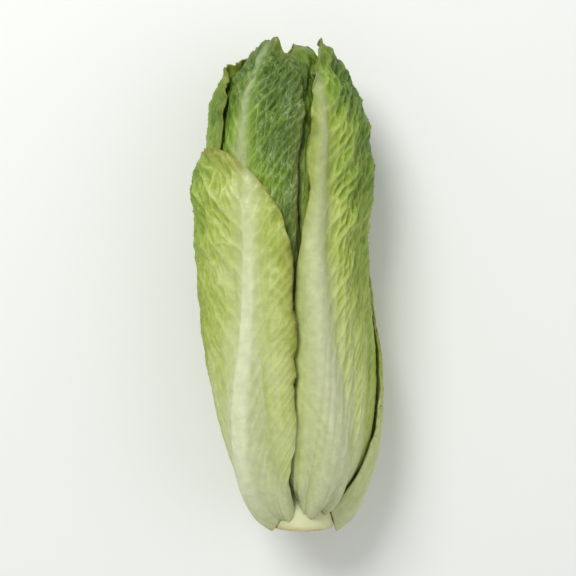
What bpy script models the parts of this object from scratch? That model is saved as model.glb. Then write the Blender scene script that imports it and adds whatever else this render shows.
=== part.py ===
# Little gem lettuce, one trimmed head lying on its side.
# The head's axis runs along +Y from the cut stem to the leaf tips, and +Z is up.
# The origin is under the middle of the head, on the surface it lies on.
#
# Every leaf is a flat slab wrapped round the head by one rule. The head is a nest of
# egg-shaped shells, all rooted on the stem's cone. A place on a shell has three
# coordinates: its way along the shell from root to crown (s, 0 to 1), its angle round the
# axis (theta), and the shell's size. A leaf lies on the leaves inside it: its height above
# the heart is the sum of their thicknesses and of the air between them, each faded out
# beyond that leaf's own margin.

import math

import bmesh
import bpy
import numpy as np

# The head
HEAD_RADIUS = 0.0300  # half the width of the widest shell
DEPTH_RATIO = 0.94  # heads packed side by side are a little flatter than wide
BELLY = 0.092  # from the lowest roots up to the widest place
CROWN = 0.073  # from the widest place to the top of the outermost shell
CROWN_DROP = 0.018  # how much lower the innermost shell ends
ROOT_ANGLE = math.radians(-75)  # where a shell starts on its lower half
BELLY_PLACE = ROOT_ANGLE / (ROOT_ANGLE - math.pi / 2)  # the way along to the belly
LOWER_FULLNESS = 0.42  # how much blunter than an ellipse the lower half is
UPPER_FULLNESS = 0.30
HEART_SIZE = 0.36  # the heart's shell, where the outermost is 1
BEND = 0.0060  # how far the root stands sideways of the belly
BEND_TOP, BEND_LENGTH = 0.102, 0.100  # where the bend starts, and how far down it goes
LUMPS = 0.018  # how uneven the head is, as a part of its radius
LUMP_WAVES = ((3, 60.0), (2, -85.0))  # lumps round the head, and radians per metre along

# The stem
STEM_HEIGHT = 0.050  # from the lowest roots to the cone's point
STEM_SEGMENTS = 32
STEM_RINGS = 5
CUT_STUB = 0.0010  # the cut face lies this far below the lowest roots
CUT_EDGE = 0.0008  # rounding of the cut face's rim
SEAT_GAP = 0.00045  # between the stem and a leaf's root
HEART_GAP = 0.0012  # between the stem and the heart

# The leaves
LEAF_COUNT = 17
DIVERGENCE = math.radians(-137.5)  # from each leaf to the next one inwards
FIRST_ANGLE = math.radians(-92.5)  # the outermost leaf is the one underneath
BLADE = 0.00095  # thickness of a blade at its foot
THIN_TIP = 0.25  # how much of that is lost towards the tip
BLADE_HALF = 0.031  # half the width of a blade at the belly
WIDEST_WRAP = 2.2  # radians to each side, approached where the shells close up
FOOT_REACH = 0.40  # how far up a slim foot goes
OUTER_TIP, INNER_TIP = 0.80, 0.97  # how far along the head a leaf reaches
TIP_REACH = 0.42  # the part of the ranks over which that changes
SHOULDER = 0.72  # where a leaf's round end begins, as a part of its length
SEED = 11
JITTER = {
    "angle": math.radians(3),
    "half": 0.08 * BLADE_HALF,
    "tip": 0.02,
    "lean": math.radians(8),
    "rib": 0.15,
}

# A leaf's midrib
RIB_HEIGHT = 0.0034  # how much thicker the outermost leaf is there, at its foot
YOUNG_RIB = 0.45  # the innermost leaf's, as a part of that
RIB_HALF = 0.0092  # half the width of the midrib at the foot
RIB_TAPER = {"width": 0.75, "height": 0.93}  # how much of each is gone at the tip
RIB_END = 0.88  # the way along where the midrib is spent
RIB_DRIFT = 0.5  # the way along where it has reached its own place across the blade

# The air between leaves
LEAST_AIR = 0.00135  # between a leaf and the next one out
MARGIN_AIR = 0.00075  # what a margin keeps of that on the lower half
MARGIN_LIFT, MARGIN_RISE = 0.38, 0.30  # the way along where margins begin to stand off
SIDE_SLACK, TIP_SLACK = 1.04, 0.01  # how far past its own margin a leaf still holds others up
SIDE_FADE = math.radians(27)  # over this angle the next leaf comes down past a side
TIP_FADE = 0.15  # and over this way along past a tip
RUFFLE = 0.0015  # how far a free margin waves outwards
RUFFLE_LENGTH = 0.031
RUFFLE_WAVES = ((1.0, 0.6), (0.6, -1.1))  # how fast its two waves run along the head and round it
RUFFLE_START, RUFFLE_RISE = 0.30, 0.30  # the way along where margins begin to wave

# Leaves that the view from above shows, by rank from the outermost. The angle is that of
# the blade's middle, "rib" is where the midrib lies across the blade, from -1 to 1, and
# "slim" is the part of its angle that a leaf lacks at its foot.
SHOWN_LEAVES = {
    0: {"angle": math.radians(-91), "lean": 0.0, "half": 0.031, "tip": 0.86, "rib": 0.0},
    1: {"angle": math.radians(146), "lean": 0.0, "half": 0.034, "tip": 0.63, "rib": -0.45, "slim": 0.30},
    2: {"angle": math.radians(-22), "lean": math.radians(-80), "half": 0.023, "tip": 0.60, "rib": 0.0},
    4: {"angle": math.radians(58), "lean": math.radians(-65), "half": 0.030, "tip": 0.91, "rib": 0.77},
    5: {"lean": math.radians(-4), "half": 0.030},
    6: {"angle": math.radians(140), "lean": 0.0, "half": 0.034, "tip": 0.94, "rib": -0.1},
}

# The heart, with its rolled folds
HEART_REACH = 0.48  # the way along its shell from the middle to either pole
FOLDS = 3
FOLD_TWIST = 1.2  # how many folds round each one turns from root to crown
FOLD_DEPTH = 0.0010
FOLD_RISE, FOLD_END = 0.3, 0.1  # the way along over which a fold begins and ends
HEART_SEGMENTS, HEART_RINGS = 20, 18

# The flat spot that the head rests on
REST_DEPTH = 0.0026
REST_BLADE = 0.0007  # the blade is at least this thick there

# Cells of a leaf's slab
COLUMNS, ROWS = 14, 18
INNER_COLUMNS, INNER_ROWS = 12, 14
FINE_RANKS = 8  # leaves that show enough to have the finer slab
MARGIN_COLUMNS = 0.4  # how much closer the columns lie towards the midrib
END_ROWS = 0.4  # how much closer the rows lie towards the root and the tip

GREENS = {
    "outer": (0.33, 0.44, 0.11),
    "inner": (0.50, 0.58, 0.20),
    "heart": (0.66, 0.68, 0.30),
    "stem": (0.72, 0.72, 0.50),
}
LEAF_ROUGHNESS = 0.45
STEM_ROUGHNESS = 0.60
SMOOTH_BELOW = math.radians(50)


def smooth(x):
    """0 below 0, 1 above 1, and an S-shaped rise between."""
    x = np.clip(x, 0.0, 1.0)
    return x * x * (3.0 - 2.0 * x)


def shell_radius(s):
    """Radius of the outermost shell at s."""
    alpha = ROOT_ANGLE + (math.pi / 2 - ROOT_ANGLE) * s
    fullness = np.where(alpha < 0, LOWER_FULLNESS, UPPER_FULLNESS)
    return HEAD_RADIUS * np.cos(alpha) * (1.0 + fullness * np.sin(alpha) ** 2)


def shell_rise(s, size):
    """Distance along the axis of a shell of this size, at s."""
    alpha = ROOT_ANGLE + (math.pi / 2 - ROOT_ANGLE) * s
    above = CROWN - (1.0 - size) * CROWN_DROP
    below = (BELLY - (1.0 - size) * STEM_HEIGHT) / -math.sin(ROOT_ANGLE)
    return BELLY + np.where(alpha < 0, below, above) * np.sin(alpha)


def shell_spacing(s):
    """How far apart two shells are, measured square to them, per unit of size."""
    step = 1e-4
    along = shell_rise(s + step, 1.0) - shell_rise(s - step, 1.0)
    out = shell_radius(s + step) - shell_radius(s - step)
    grow_along = (shell_rise(s, 1.0) - shell_rise(s, 1.0 - step)) / step
    grow_out = shell_radius(s)
    return np.abs(grow_out * along - grow_along * out) / np.hypot(along, out)


def sideways(rise):
    """How far the head's axis stands to the side, this far along it."""
    return BEND * smooth((BEND_TOP - rise) / BEND_LENGTH)


def lumpiness(rise, theta):
    """How much fuller or thinner than round the head is: lumps, but none underneath."""
    swell = sum(np.sin(count * theta + twist * rise) for count, twist in LUMP_WAVES)
    return 1.0 + LUMPS * swell * smooth(rise / BELLY) * smooth(1.0 + np.sin(theta))


def place(s, theta, height):
    """A point at s and theta, this high above the heart's surface."""
    size = HEART_SIZE + height / shell_spacing(s)
    rise = shell_rise(s, size)
    radius = size * shell_radius(s) * lumpiness(rise, theta)
    across = radius * np.cos(theta) + sideways(rise)
    return np.stack([across, rise, DEPTH_RATIO * radius * np.sin(theta)], axis=-1)


def make_leaves():
    """The leaves from the outermost inwards, each a dictionary of its own numbers."""
    random = np.random.default_rng(SEED)
    leaves = []
    for rank in range(LEAF_COUNT):
        inward = rank / LEAF_COUNT
        leaf = {
            "angle": FIRST_ANGLE + rank * DIVERGENCE,
            "half": BLADE_HALF,
            "tip": OUTER_TIP + (INNER_TIP - OUTER_TIP) * smooth(inward / TIP_REACH),
            "lean": 0.0,
            "rib": 0.0,
            "slim": 0.0,
        }
        for key, amount in JITTER.items():
            leaf[key] += amount * random.uniform(-1, 1)
        leaf["phases"] = random.uniform(0, 2 * math.pi, 2)
        leaf["rib_height"] = RIB_HEIGHT * (1.0 - (1.0 - YOUNG_RIB) * inward)
        leaf.update(SHOWN_LEAVES.get(rank, {}))
        leaves.append(leaf)
    return leaves


def half_angle(leaf, s):
    """Half the angle that a leaf spans at s: even up to the belly but for a slim foot."""
    radius = np.where(s < BELLY_PLACE, HEAD_RADIUS, shell_radius(s))
    foot = 1.0 - leaf["slim"] * (1.0 - smooth(s / FOOT_REACH))
    return WIDEST_WRAP * np.tanh(leaf["half"] / radius / WIDEST_WRAP) * foot


def end_of(leaf, across):
    """Where a leaf ends, for a place across it from -1 to 1: a round tip."""
    shoulder = SHOULDER * leaf["tip"]
    return shoulder + (leaf["tip"] - shoulder) * np.sqrt(np.clip(1.0 - across**2, 0.0, 1.0))


def middle(leaf, s):
    """The angle of a leaf's middle at s."""
    return leaf["angle"] + leaf["lean"] * s


def from_middle(leaf, s, theta):
    """The angle from the middle of a leaf, within half a turn either way."""
    return (theta - middle(leaf, s) + math.pi) % (2 * math.pi) - math.pi


def thickness(leaf, s, psi):
    """Blade thickness, with the midrib's rounded back raised from it."""
    spent = smooth(s / RIB_END)
    rib_half = RIB_HALF * (1.0 - RIB_TAPER["width"] * spent) / shell_radius(s)
    rib_height = leaf["rib_height"] * (1.0 - RIB_TAPER["height"] * spent)
    off_rib = psi - leaf["rib"] * half_angle(leaf, s) * smooth(s / RIB_DRIFT)
    across = np.clip(np.abs(off_rib) / rib_half, 0.0, 1.0)
    return BLADE * (1.0 - THIN_TIP * s) + rib_height * (1.0 - across**2) ** 1.5


def cover(leaf, s, psi):
    """1 where a leaf lies, fading to 0 beyond its sides and its tip."""
    half = half_angle(leaf, s)
    beyond_side = (np.abs(psi) - SIDE_SLACK * half) / SIDE_FADE
    beyond_tip = (s - end_of(leaf, psi / half) - TIP_SLACK) / TIP_FADE
    return (1.0 - smooth(beyond_side)) * (1.0 - smooth(beyond_tip))


def stack_height(leaves, air, s, theta):
    """Summed height of these leaves, each with the air outside it, at s and theta."""
    height = np.zeros(np.broadcast(s, theta).shape)
    for leaf in leaves:
        psi = from_middle(leaf, s, theta)
        height += (thickness(leaf, s, psi) + air) * cover(leaf, s, psi)
    return height


def air_along(leaves):
    """Air between leaves, at places along the head, that gives the head its full size."""
    s = np.linspace(0.0, 0.98, 50)
    turn = np.linspace(0, 2 * math.pi, 72, endpoint=False)[:, np.newaxis]
    wanted = (1.0 - HEART_SIZE) * shell_spacing(s)
    solid = stack_height(leaves, 0.0, s, turn).mean(axis=0)
    layers = stack_height(leaves, 1.0, s, turn).mean(axis=0) - solid
    return s, np.maximum((wanted - solid) / layers, LEAST_AIR)


def ruffle(leaf, outer_leaves, s, psi):
    """Outward waves of a margin where no outer leaf covers it."""
    free = np.ones(s.shape)
    for outer in outer_leaves:
        free *= 1.0 - cover(outer, s, from_middle(outer, s, middle(leaf, s) + psi))
    along = s * (BELLY + CROWN) * 2 * math.pi / RUFFLE_LENGTH
    round_head = psi * HEAD_RADIUS * 2 * math.pi / RUFFLE_LENGTH
    wave = np.ones(s.shape)
    for (along_rate, round_rate), phase in zip(RUFFLE_WAVES, leaf["phases"]):
        wave *= np.sin(along_rate * along + round_rate * round_head + phase)
    return RUFFLE * (1.0 + wave) * free * smooth((s - RUFFLE_START) / RUFFLE_RISE)


def wrap_leaf(order, leaves, air_table, flat):
    """Moves a flat slab's points, with x across, y down and z the layer, onto the head."""
    leaf = leaves[order]
    across = (1.0 - MARGIN_COLUMNS) * flat[:, 0] + MARGIN_COLUMNS * flat[:, 0] ** 3
    down = flat[:, 1] * 0.5 + 0.5
    down = down - END_ROWS * np.sin(2 * math.pi * down) / (2 * math.pi)
    s = end_of(leaf, flat[:, 0]) * down
    psi = half_angle(leaf, s) * across
    theta = middle(leaf, s) + psi
    edge = 1.0 - (1.0 - across**4) * (1.0 - down**4)
    air = np.interp(s, *air_table)
    margin_air = MARGIN_AIR + (LEAST_AIR - MARGIN_AIR) * smooth((s - MARGIN_LIFT) / MARGIN_RISE)
    height = stack_height(leaves[order + 1 :], air, s, theta) + air
    height += edge * (margin_air - air + ruffle(leaf, leaves[:order], s, psi))
    return place(s, theta, height + flat[:, 2] * thickness(leaf, s, psi))


def add_object(name, mesh, colour, roughness):
    """An object of this mesh in the head's collection, with its own material."""
    material = bpy.data.materials.new(name)
    material.use_nodes = True
    shader = material.node_tree.nodes["Principled BSDF"]
    shader.inputs["Base Color"].default_value = (*colour, 1.0)
    shader.inputs["Roughness"].default_value = roughness
    shader.inputs["Metallic"].default_value = 0.0
    mesh.materials.append(material)
    mesh.shade_smooth()
    mesh.set_sharp_from_angle(angle=SMOOTH_BELOW)
    made = bpy.data.objects.new(name, mesh)
    head.objects.link(made)
    return made


def mesh_of(bm, name):
    """A mesh of this shape, which is then freed."""
    mesh = bpy.data.meshes.new(name)
    bm.to_mesh(mesh)
    bm.free()
    return mesh


def flat_slab(name, columns, rows):
    """A closed slab of triangles: x and y from -1 to 1, and z 0 or 1."""
    bm = bmesh.new()
    bmesh.ops.create_grid(bm, x_segments=columns, y_segments=rows, size=1.0)
    bmesh.ops.triangulate(bm, faces=bm.faces[:])
    raised = bmesh.ops.extrude_face_region(bm, geom=bm.faces[:], use_keep_orig=True)
    top = [item for item in raised["geom"] if isinstance(item, bmesh.types.BMVert)]
    bmesh.ops.translate(bm, verts=top, vec=(0.0, 0.0, 1.0))
    bmesh.ops.triangulate(bm, faces=bm.faces[:])
    return mesh_of(bm, name)


def points_of(mesh):
    """The mesh's points, one row each."""
    points = np.empty(len(mesh.vertices) * 3, np.float32)
    mesh.vertices.foreach_get("co", points)
    return points.reshape(-1, 3).astype(float)


def set_points(mesh, points):
    """Moves the mesh's points, and turns its faces outwards."""
    mesh.vertices.foreach_set("co", points.astype(np.float32).ravel())
    bm = bmesh.new()
    bm.from_mesh(mesh)
    bmesh.ops.recalc_face_normals(bm, faces=bm.faces[:])
    bm.to_mesh(mesh)
    bm.free()


def add_leaf(order, leaves, air_table):
    """One leaf, counted from the outermost."""
    fine = order < FINE_RANKS
    columns, rows = (COLUMNS, ROWS) if fine else (INNER_COLUMNS, INNER_ROWS)
    name = f"leaf_{order + 1:02d}"
    mesh = flat_slab(name, columns, rows)
    set_points(mesh, wrap_leaf(order, leaves, air_table, points_of(mesh)))
    return add_object(name, mesh, GREENS["outer" if fine else "inner"], LEAF_ROUGHNESS)


def add_heart():
    """The bud of tight young leaves: a closed egg with rolled folds."""
    bm = bmesh.new()
    bmesh.ops.create_uvsphere(bm, u_segments=HEART_SEGMENTS, v_segments=HEART_RINGS, radius=1.0)
    mesh = mesh_of(bm, "heart")
    ball = points_of(mesh)
    theta = np.arctan2(ball[:, 1], ball[:, 0])
    s = 0.5 - HEART_REACH * np.arcsin(np.clip(-ball[:, 2], -1, 1)) / (math.pi / 2)
    roll = (theta / (2 * math.pi) * FOLDS + FOLD_TWIST * s) % 1.0
    folds = FOLD_DEPTH * (roll**2 - 1.0) * smooth(s / FOLD_RISE) * smooth((1.0 - s) / FOLD_END)
    points = place(s, theta, folds)
    pole = np.isclose(np.abs(ball[:, 2]), 1.0, atol=1e-4)
    points[pole, 0] = sideways(points[pole, 1])
    points[pole, 2] = 0.0
    set_points(mesh, points)
    return add_object("heart", mesh, GREENS["heart"], LEAF_ROUGHNESS)


def add_stem():
    """The stem: a blunt cone inside the head, with its cut end below the roots."""
    root_radius = float(shell_radius(np.array(0.0)))
    slope = root_radius / STEM_HEIGHT
    top = (1.0 - HEART_SIZE) * STEM_HEIGHT - HEART_GAP
    length = top + CUT_STUB
    bm = bmesh.new()
    bmesh.ops.create_cone(
        bm,
        cap_ends=True,
        segments=STEM_SEGMENTS,
        radius1=root_radius + CUT_STUB * slope - SEAT_GAP,
        radius2=root_radius - top * slope - SEAT_GAP,
        depth=length,
    )
    rim = [edge for edge in bm.edges if all(vert.co.z < 0 for vert in edge.verts)]
    bmesh.ops.bevel(bm, geom=rim, offset=CUT_EDGE, segments=2, affect="EDGES")
    sides = [edge for edge in bm.edges if edge.calc_length() > length / 2 and len(edge.link_faces) == 2]
    sides = [edge for edge in sides if edge.verts[0].co.z * edge.verts[1].co.z < 0]
    bmesh.ops.subdivide_edges(bm, edges=sides, cuts=STEM_RINGS)
    mesh = mesh_of(bm, "stem")
    points = points_of(mesh)
    rise = points[:, 2] + length / 2 - CUT_STUB
    set_points(mesh, np.stack([points[:, 0] + sideways(rise), rise, DEPTH_RATIO * points[:, 1]], axis=-1))
    return add_object("stem", mesh, GREENS["stem"], STEM_ROUGHNESS)


def set_down(objects, lowest_leaf):
    """Flattens the lowest leaf's back where the head rests, and puts the origin there."""
    clouds = {made: points_of(made.data) for made in objects}
    everything = np.concatenate(list(clouds.values()))
    floor = everything[:, 2].min() + REST_DEPTH
    under = clouds[lowest_leaf]
    inner_face = np.arange(len(under)) < len(under) // 2
    under[:, 2] = np.maximum(under[:, 2], floor + REST_BLADE * inner_face)
    shift = -(everything.min(axis=0) + everything.max(axis=0)) / 2
    shift[2] = -floor
    for made, points in clouds.items():
        set_points(made.data, points + shift)


for old in list(bpy.data.objects):
    bpy.data.objects.remove(old)
head = bpy.data.collections.new("little_gem_lettuce")
bpy.context.scene.collection.children.link(head)

all_leaves = make_leaves()
all_air = air_along(all_leaves)
made_leaves = [add_leaf(order, all_leaves, all_air) for order in range(len(all_leaves))]
set_down([*made_leaves, add_heart(), add_stem()], made_leaves[0])
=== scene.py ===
import math

import bpy
import numpy as np
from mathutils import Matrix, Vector


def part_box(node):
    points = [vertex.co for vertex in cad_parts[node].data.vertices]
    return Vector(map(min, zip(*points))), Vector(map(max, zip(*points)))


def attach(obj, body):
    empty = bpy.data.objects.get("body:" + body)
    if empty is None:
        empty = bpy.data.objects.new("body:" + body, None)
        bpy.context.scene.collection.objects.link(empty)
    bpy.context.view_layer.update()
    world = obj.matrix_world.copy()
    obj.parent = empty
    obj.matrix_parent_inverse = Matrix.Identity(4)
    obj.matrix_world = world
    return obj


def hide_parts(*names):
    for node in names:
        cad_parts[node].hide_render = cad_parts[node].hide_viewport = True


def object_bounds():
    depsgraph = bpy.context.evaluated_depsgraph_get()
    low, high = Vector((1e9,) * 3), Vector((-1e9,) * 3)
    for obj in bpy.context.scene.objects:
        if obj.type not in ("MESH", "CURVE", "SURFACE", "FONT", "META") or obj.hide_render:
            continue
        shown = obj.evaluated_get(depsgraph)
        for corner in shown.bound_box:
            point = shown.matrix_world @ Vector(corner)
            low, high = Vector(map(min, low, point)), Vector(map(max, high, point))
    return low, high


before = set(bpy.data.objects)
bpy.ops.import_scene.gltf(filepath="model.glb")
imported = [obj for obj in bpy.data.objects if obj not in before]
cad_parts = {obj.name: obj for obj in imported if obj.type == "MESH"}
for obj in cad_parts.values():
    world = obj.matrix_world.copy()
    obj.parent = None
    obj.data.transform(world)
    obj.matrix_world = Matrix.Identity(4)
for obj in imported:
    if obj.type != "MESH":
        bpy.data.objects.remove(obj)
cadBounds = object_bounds()

# A head of little gem lettuce, lying down, seen from straight above. Every leaf is worked
# out on a fine grid by the rule that shapes the solids, and then gets its veins, blisters
# and ruffled margin. Lengths are in metres unless a name says mm. A pair of values for a
# fade is where it starts and how far on it ends.

head = {
    "radius": 0.0300,  # of the widest shell
    "depthRatio": 0.94,
    "belly": 0.092,  # from the lowest roots up to the widest place
    "crown": 0.073,  # from there to the top
    "crownDrop": 0.018,
    "rootAngle": math.radians(-75),
    "lowerFullness": 0.42,
    "upperFullness": 0.30,
    "heartSize": 0.36,
    "bend": 0.0060,
    "bendTop": 0.102,
    "bendLength": 0.100,
    "lumps": 0.018,
    "lumpWaves": ((3, 60.0), (2, -85.0)),
    "stemHeight": 0.050,
}
bellyPlace = head["rootAngle"] / (head["rootAngle"] - math.pi / 2)
wholeTurn = 2 * math.pi


def smooth(x):
    # 0 below 0, 1 above 1, and 3x^2 - 2x^3 between
    x = np.clip(x, 0.0, 1.0)
    return x * x * (3.0 - 2.0 * x)


def fadeIn(x, fade):
    # a smooth step up from the first value of the fade, as long as the second
    start, length = fade
    return smooth((x - start) / length)


def shellRadius(s):
    # radius times the cosine of the shell angle, fuller by a part of the sine squared
    alpha = head["rootAngle"] + (math.pi / 2 - head["rootAngle"]) * s
    fullness = np.where(alpha < 0, head["lowerFullness"], head["upperFullness"])
    return head["radius"] * np.cos(alpha) * (1.0 + fullness * np.sin(alpha) ** 2)


def shellRise(s, size):
    # belly plus the sine of the shell angle times the half's length, which size shortens
    alpha = head["rootAngle"] + (math.pi / 2 - head["rootAngle"]) * s
    above = head["crown"] - (1.0 - size) * head["crownDrop"]
    below = (head["belly"] - (1.0 - size) * head["stemHeight"]) / -math.sin(head["rootAngle"])
    return head["belly"] + np.where(alpha < 0, below, above) * np.sin(alpha)


def shellSpacing(s):
    # distance between shells, square to them, per unit of size
    step = 1e-4
    along = shellRise(s + step, 1.0) - shellRise(s - step, 1.0)
    out = shellRadius(s + step) - shellRadius(s - step)
    growAlong = (shellRise(s, 1.0) - shellRise(s, 1.0 - step)) / step
    growOut = shellRadius(s)
    return np.abs(growOut * along - growAlong * out) / np.hypot(along, out)


def sideways(rise):
    # the head's axis bends aside towards the root, by a smooth step
    return head["bend"] * smooth((head["bendTop"] - rise) / head["bendLength"])


def lumpiness(rise, theta):
    # two sine waves round and along the head, faded out at the root and underneath
    swell = sum(np.sin(count * theta + twist * rise) for count, twist in head["lumpWaves"])
    return 1.0 + head["lumps"] * swell * smooth(rise / head["belly"]) * smooth(1.0 + np.sin(theta))


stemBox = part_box("stem")
cutStub = 0.0010  # the cut face lies this far below the lowest roots
headShift = np.array([
    (stemBox[0][0] + stemBox[1][0]) / 2 - head["bend"],
    stemBox[0][1] + cutStub,
    (stemBox[0][2] + stemBox[1][2]) / 2,
])


def place(s, theta, height):
    # a point of the shell of size heartSize + height / spacing, in the frame's own place
    size = head["heartSize"] + height / shellSpacing(s)
    rise = shellRise(s, size)
    radius = size * shellRadius(s) * lumpiness(rise, theta)
    across = radius * np.cos(theta) + sideways(rise)
    points = np.stack([across, rise, head["depthRatio"] * radius * np.sin(theta)], axis=-1)
    return points + headShift


# The leaves, as the solids have them

leafRule = {
    "count": 17,
    "divergence": math.radians(-137.5),
    "firstAngle": math.radians(-92.5),
    "blade": 0.00095,
    "thinTip": 0.25,
    "half": 0.031,
    "widestWrap": 2.2,
    "footReach": 0.40,
    "outerTip": 0.80,
    "innerTip": 0.97,
    "tipReach": 0.42,
    "shoulder": 0.72,
    "seed": 11,
    "jitter": {
        "angle": math.radians(3),
        "half": 0.00248,
        "tip": 0.02,
        "lean": math.radians(8),
        "rib": 0.15,
    },
    "ribHeight": 0.0034,
    "youngRib": 0.45,
    "ribHalf": 0.0092,
    "ribThinner": 0.75,
    "ribLower": 0.93,
    "ribEnd": 0.88,
    "ribDrift": 0.5,
    "leastAir": 0.00135,
    "marginAir": 0.00075,
    "marginLift": (0.38, 0.30),
    "sideSlack": 1.04,
    "tipSlack": 0.01,
    "sideFade": math.radians(27),
    "tipFade": 0.15,
    "ruffle": 0.0015,
    "ruffleLength": 0.031,
    "ruffleWaves": ((1.0, 0.6), (0.6, -1.1)),
    "ruffleFade": (0.30, 0.30),
    "marginColumns": 0.4,
}
airSamples = {"upTo": 0.98, "along": 50, "round": 72}
shownLeaves = {
    0: {"angle": math.radians(-91), "lean": 0.0, "half": 0.031, "tip": 0.86, "rib": 0.0},
    1: {
        "angle": math.radians(146),
        "lean": 0.0,
        "half": 0.034,
        "tip": 0.63,
        "rib": -0.45,
        "slim": 0.30,
    },
    2: {
        "angle": math.radians(-22),
        "lean": math.radians(-80),
        "half": 0.023,
        "tip": 0.60,
        "rib": 0.0,
    },
    4: {
        "angle": math.radians(58),
        "lean": math.radians(-65),
        "half": 0.030,
        "tip": 0.91,
        "rib": 0.77,
    },
    5: {"lean": math.radians(-4), "half": 0.030},
    6: {"angle": math.radians(140), "lean": 0.0, "half": 0.034, "tip": 0.94, "rib": -0.1},
}


def planLeaves():
    # Each leaf turns on from the last by the divergence, and its tip rises by a smooth step
    # over the outer leaves. The jitter is drawn in the order of its keys, then the phases.
    random = np.random.default_rng(leafRule["seed"])
    leaves = []
    for rank in range(leafRule["count"]):
        inward = rank / leafRule["count"]
        reach = smooth(inward / leafRule["tipReach"])
        leaf = {
            "angle": leafRule["firstAngle"] + rank * leafRule["divergence"],
            "half": leafRule["half"],
            "tip": leafRule["outerTip"] + (leafRule["innerTip"] - leafRule["outerTip"]) * reach,
            "lean": 0.0,
            "rib": 0.0,
            "slim": 0.0,
        }
        for key, amount in leafRule["jitter"].items():
            leaf[key] += amount * random.uniform(-1, 1)
        leaf["phases"] = random.uniform(0, wholeTurn, 2)
        leaf["ribHeight"] = leafRule["ribHeight"] * (1.0 - (1.0 - leafRule["youngRib"]) * inward)
        leaf.update(shownLeaves.get(rank, {}))
        leaves.append(leaf)
    return leaves


def halfAngle(leaf, s):
    # the wrap limit times tanh(width over radius over limit), less at a slim foot, and
    # below the belly the radius stays the belly's
    radius = np.where(s < bellyPlace, head["radius"], shellRadius(s))
    foot = 1.0 - leaf["slim"] * (1.0 - smooth(s / leafRule["footReach"]))
    return leafRule["widestWrap"] * np.tanh(leaf["half"] / radius / leafRule["widestWrap"]) * foot


def endOf(leaf, across):
    # the shoulder plus a half circle across the blade
    shoulder = leafRule["shoulder"] * leaf["tip"]
    return shoulder + (leaf["tip"] - shoulder) * np.sqrt(np.clip(1.0 - across**2, 0.0, 1.0))


def middle(leaf, s):
    # the leaf's own angle, plus its lean times s
    return leaf["angle"] + leaf["lean"] * s


def fromMiddle(leaf, s, theta):
    # theta less the middle, brought within half a turn either way
    return (theta - middle(leaf, s) + math.pi) % wholeTurn - math.pi


def ribAngle(leaf, s):
    # the midrib drifts from the middle of the foot to its own place across the blade
    return leaf["rib"] * halfAngle(leaf, s) * smooth(s / leafRule["ribDrift"])


def ribHalfWidth(s):
    # the foot's, less a smooth step up to the rib's end
    return leafRule["ribHalf"] * (1.0 - leafRule["ribThinner"] * smooth(s / leafRule["ribEnd"]))


def thickness(leaf, s, psi):
    # the blade's, plus the midrib's back: (1 - across squared) to the power 1.5
    bladeThick = leafRule["blade"] * (1.0 - leafRule["thinTip"] * s)
    ribHeight = leaf["ribHeight"] * (1.0 - leafRule["ribLower"] * smooth(s / leafRule["ribEnd"]))
    fromRib = np.abs(psi - ribAngle(leaf, s)) * shellRadius(s)
    across = np.clip(fromRib / ribHalfWidth(s), 0.0, 1.0)
    return bladeThick + ribHeight * (1.0 - across**2) ** 1.5


def cover(leaf, s, psi):
    # 1 where a leaf lies, with a smooth step down past its sides and past its tip
    half = halfAngle(leaf, s)
    beyondSide = (np.abs(psi) - leafRule["sideSlack"] * half) / leafRule["sideFade"]
    beyondTip = (s - endOf(leaf, psi / half) - leafRule["tipSlack"]) / leafRule["tipFade"]
    return (1.0 - smooth(beyondSide)) * (1.0 - smooth(beyondTip))


def stackHeight(leaves, air, s, theta):
    # thickness plus air of each leaf inside, where it covers
    height = np.zeros(np.broadcast(s, theta).shape)
    for leaf in leaves:
        psi = fromMiddle(leaf, s, theta)
        height += (thickness(leaf, s, psi) + air) * cover(leaf, s, psi)
    return height


def airAlong(leaves):
    # what is left of the head's thickness, shared among the layers
    s = np.linspace(0.0, airSamples["upTo"], airSamples["along"])
    turn = np.linspace(0, wholeTurn, airSamples["round"], endpoint=False)[:, np.newaxis]
    wanted = (1.0 - head["heartSize"]) * shellSpacing(s)
    solid = stackHeight(leaves, 0.0, s, turn).mean(axis=0)
    layers = stackHeight(leaves, 1.0, s, turn).mean(axis=0) - solid
    return s, np.maximum((wanted - solid) / layers, leafRule["leastAir"])


leaves = planLeaves()
airTable = airAlong(leaves)
arcPlaces = np.linspace(0.0, 1.0, 400)
arcSteps = np.hypot(np.diff(shellRadius(arcPlaces)), np.diff(shellRise(arcPlaces, 1.0)))
arcLengthsMm = 1000 * np.concatenate([[0.0], np.cumsum(arcSteps)])
print("leaves planned:", len(leaves))


# Patterns for the relief

cellInset = 0.12  # how far a cell's point stays from the edge of its square


def hashed(x, y, seed):
    # the fraction of a large sine: a steady pseudo-random number for each square
    value = np.sin(x * 12.9898 + y * 78.233 + seed * 37.719) * 43758.5453
    return value - np.floor(value)


def gentleNoise(x, y, seed):
    # random numbers at whole coordinates with a smooth step between, from -1 to 1
    column, row = np.floor(x), np.floor(y)
    right, up = smooth(x - column), smooth(y - row)
    low = hashed(column, row, seed) * (1 - right) + hashed(column + 1, row, seed) * right
    high = hashed(column, row + 1, seed) * (1 - right) + hashed(column + 1, row + 1, seed) * right
    return 2 * (low * (1 - up) + high * up) - 1


def cellWalls(x, y, seed):
    # how much further the second nearest of one random point a square is than the nearest
    column, row = np.floor(x), np.floor(y)
    nearest = np.full(x.shape, np.inf)
    second = np.full(x.shape, np.inf)
    room = 1.0 - 2 * cellInset
    for i in (-1, 0, 1):
        for j in (-1, 0, 1):
            pointX = column + i + cellInset + room * hashed(column + i, row + j, seed)
            pointY = row + j + cellInset + room * hashed(column + i, row + j, seed + 5)
            distance = np.hypot(pointX - x, pointY - y)
            second = np.minimum(second, np.maximum(nearest, distance))
            nearest = np.minimum(nearest, distance)
    return second - nearest


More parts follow.
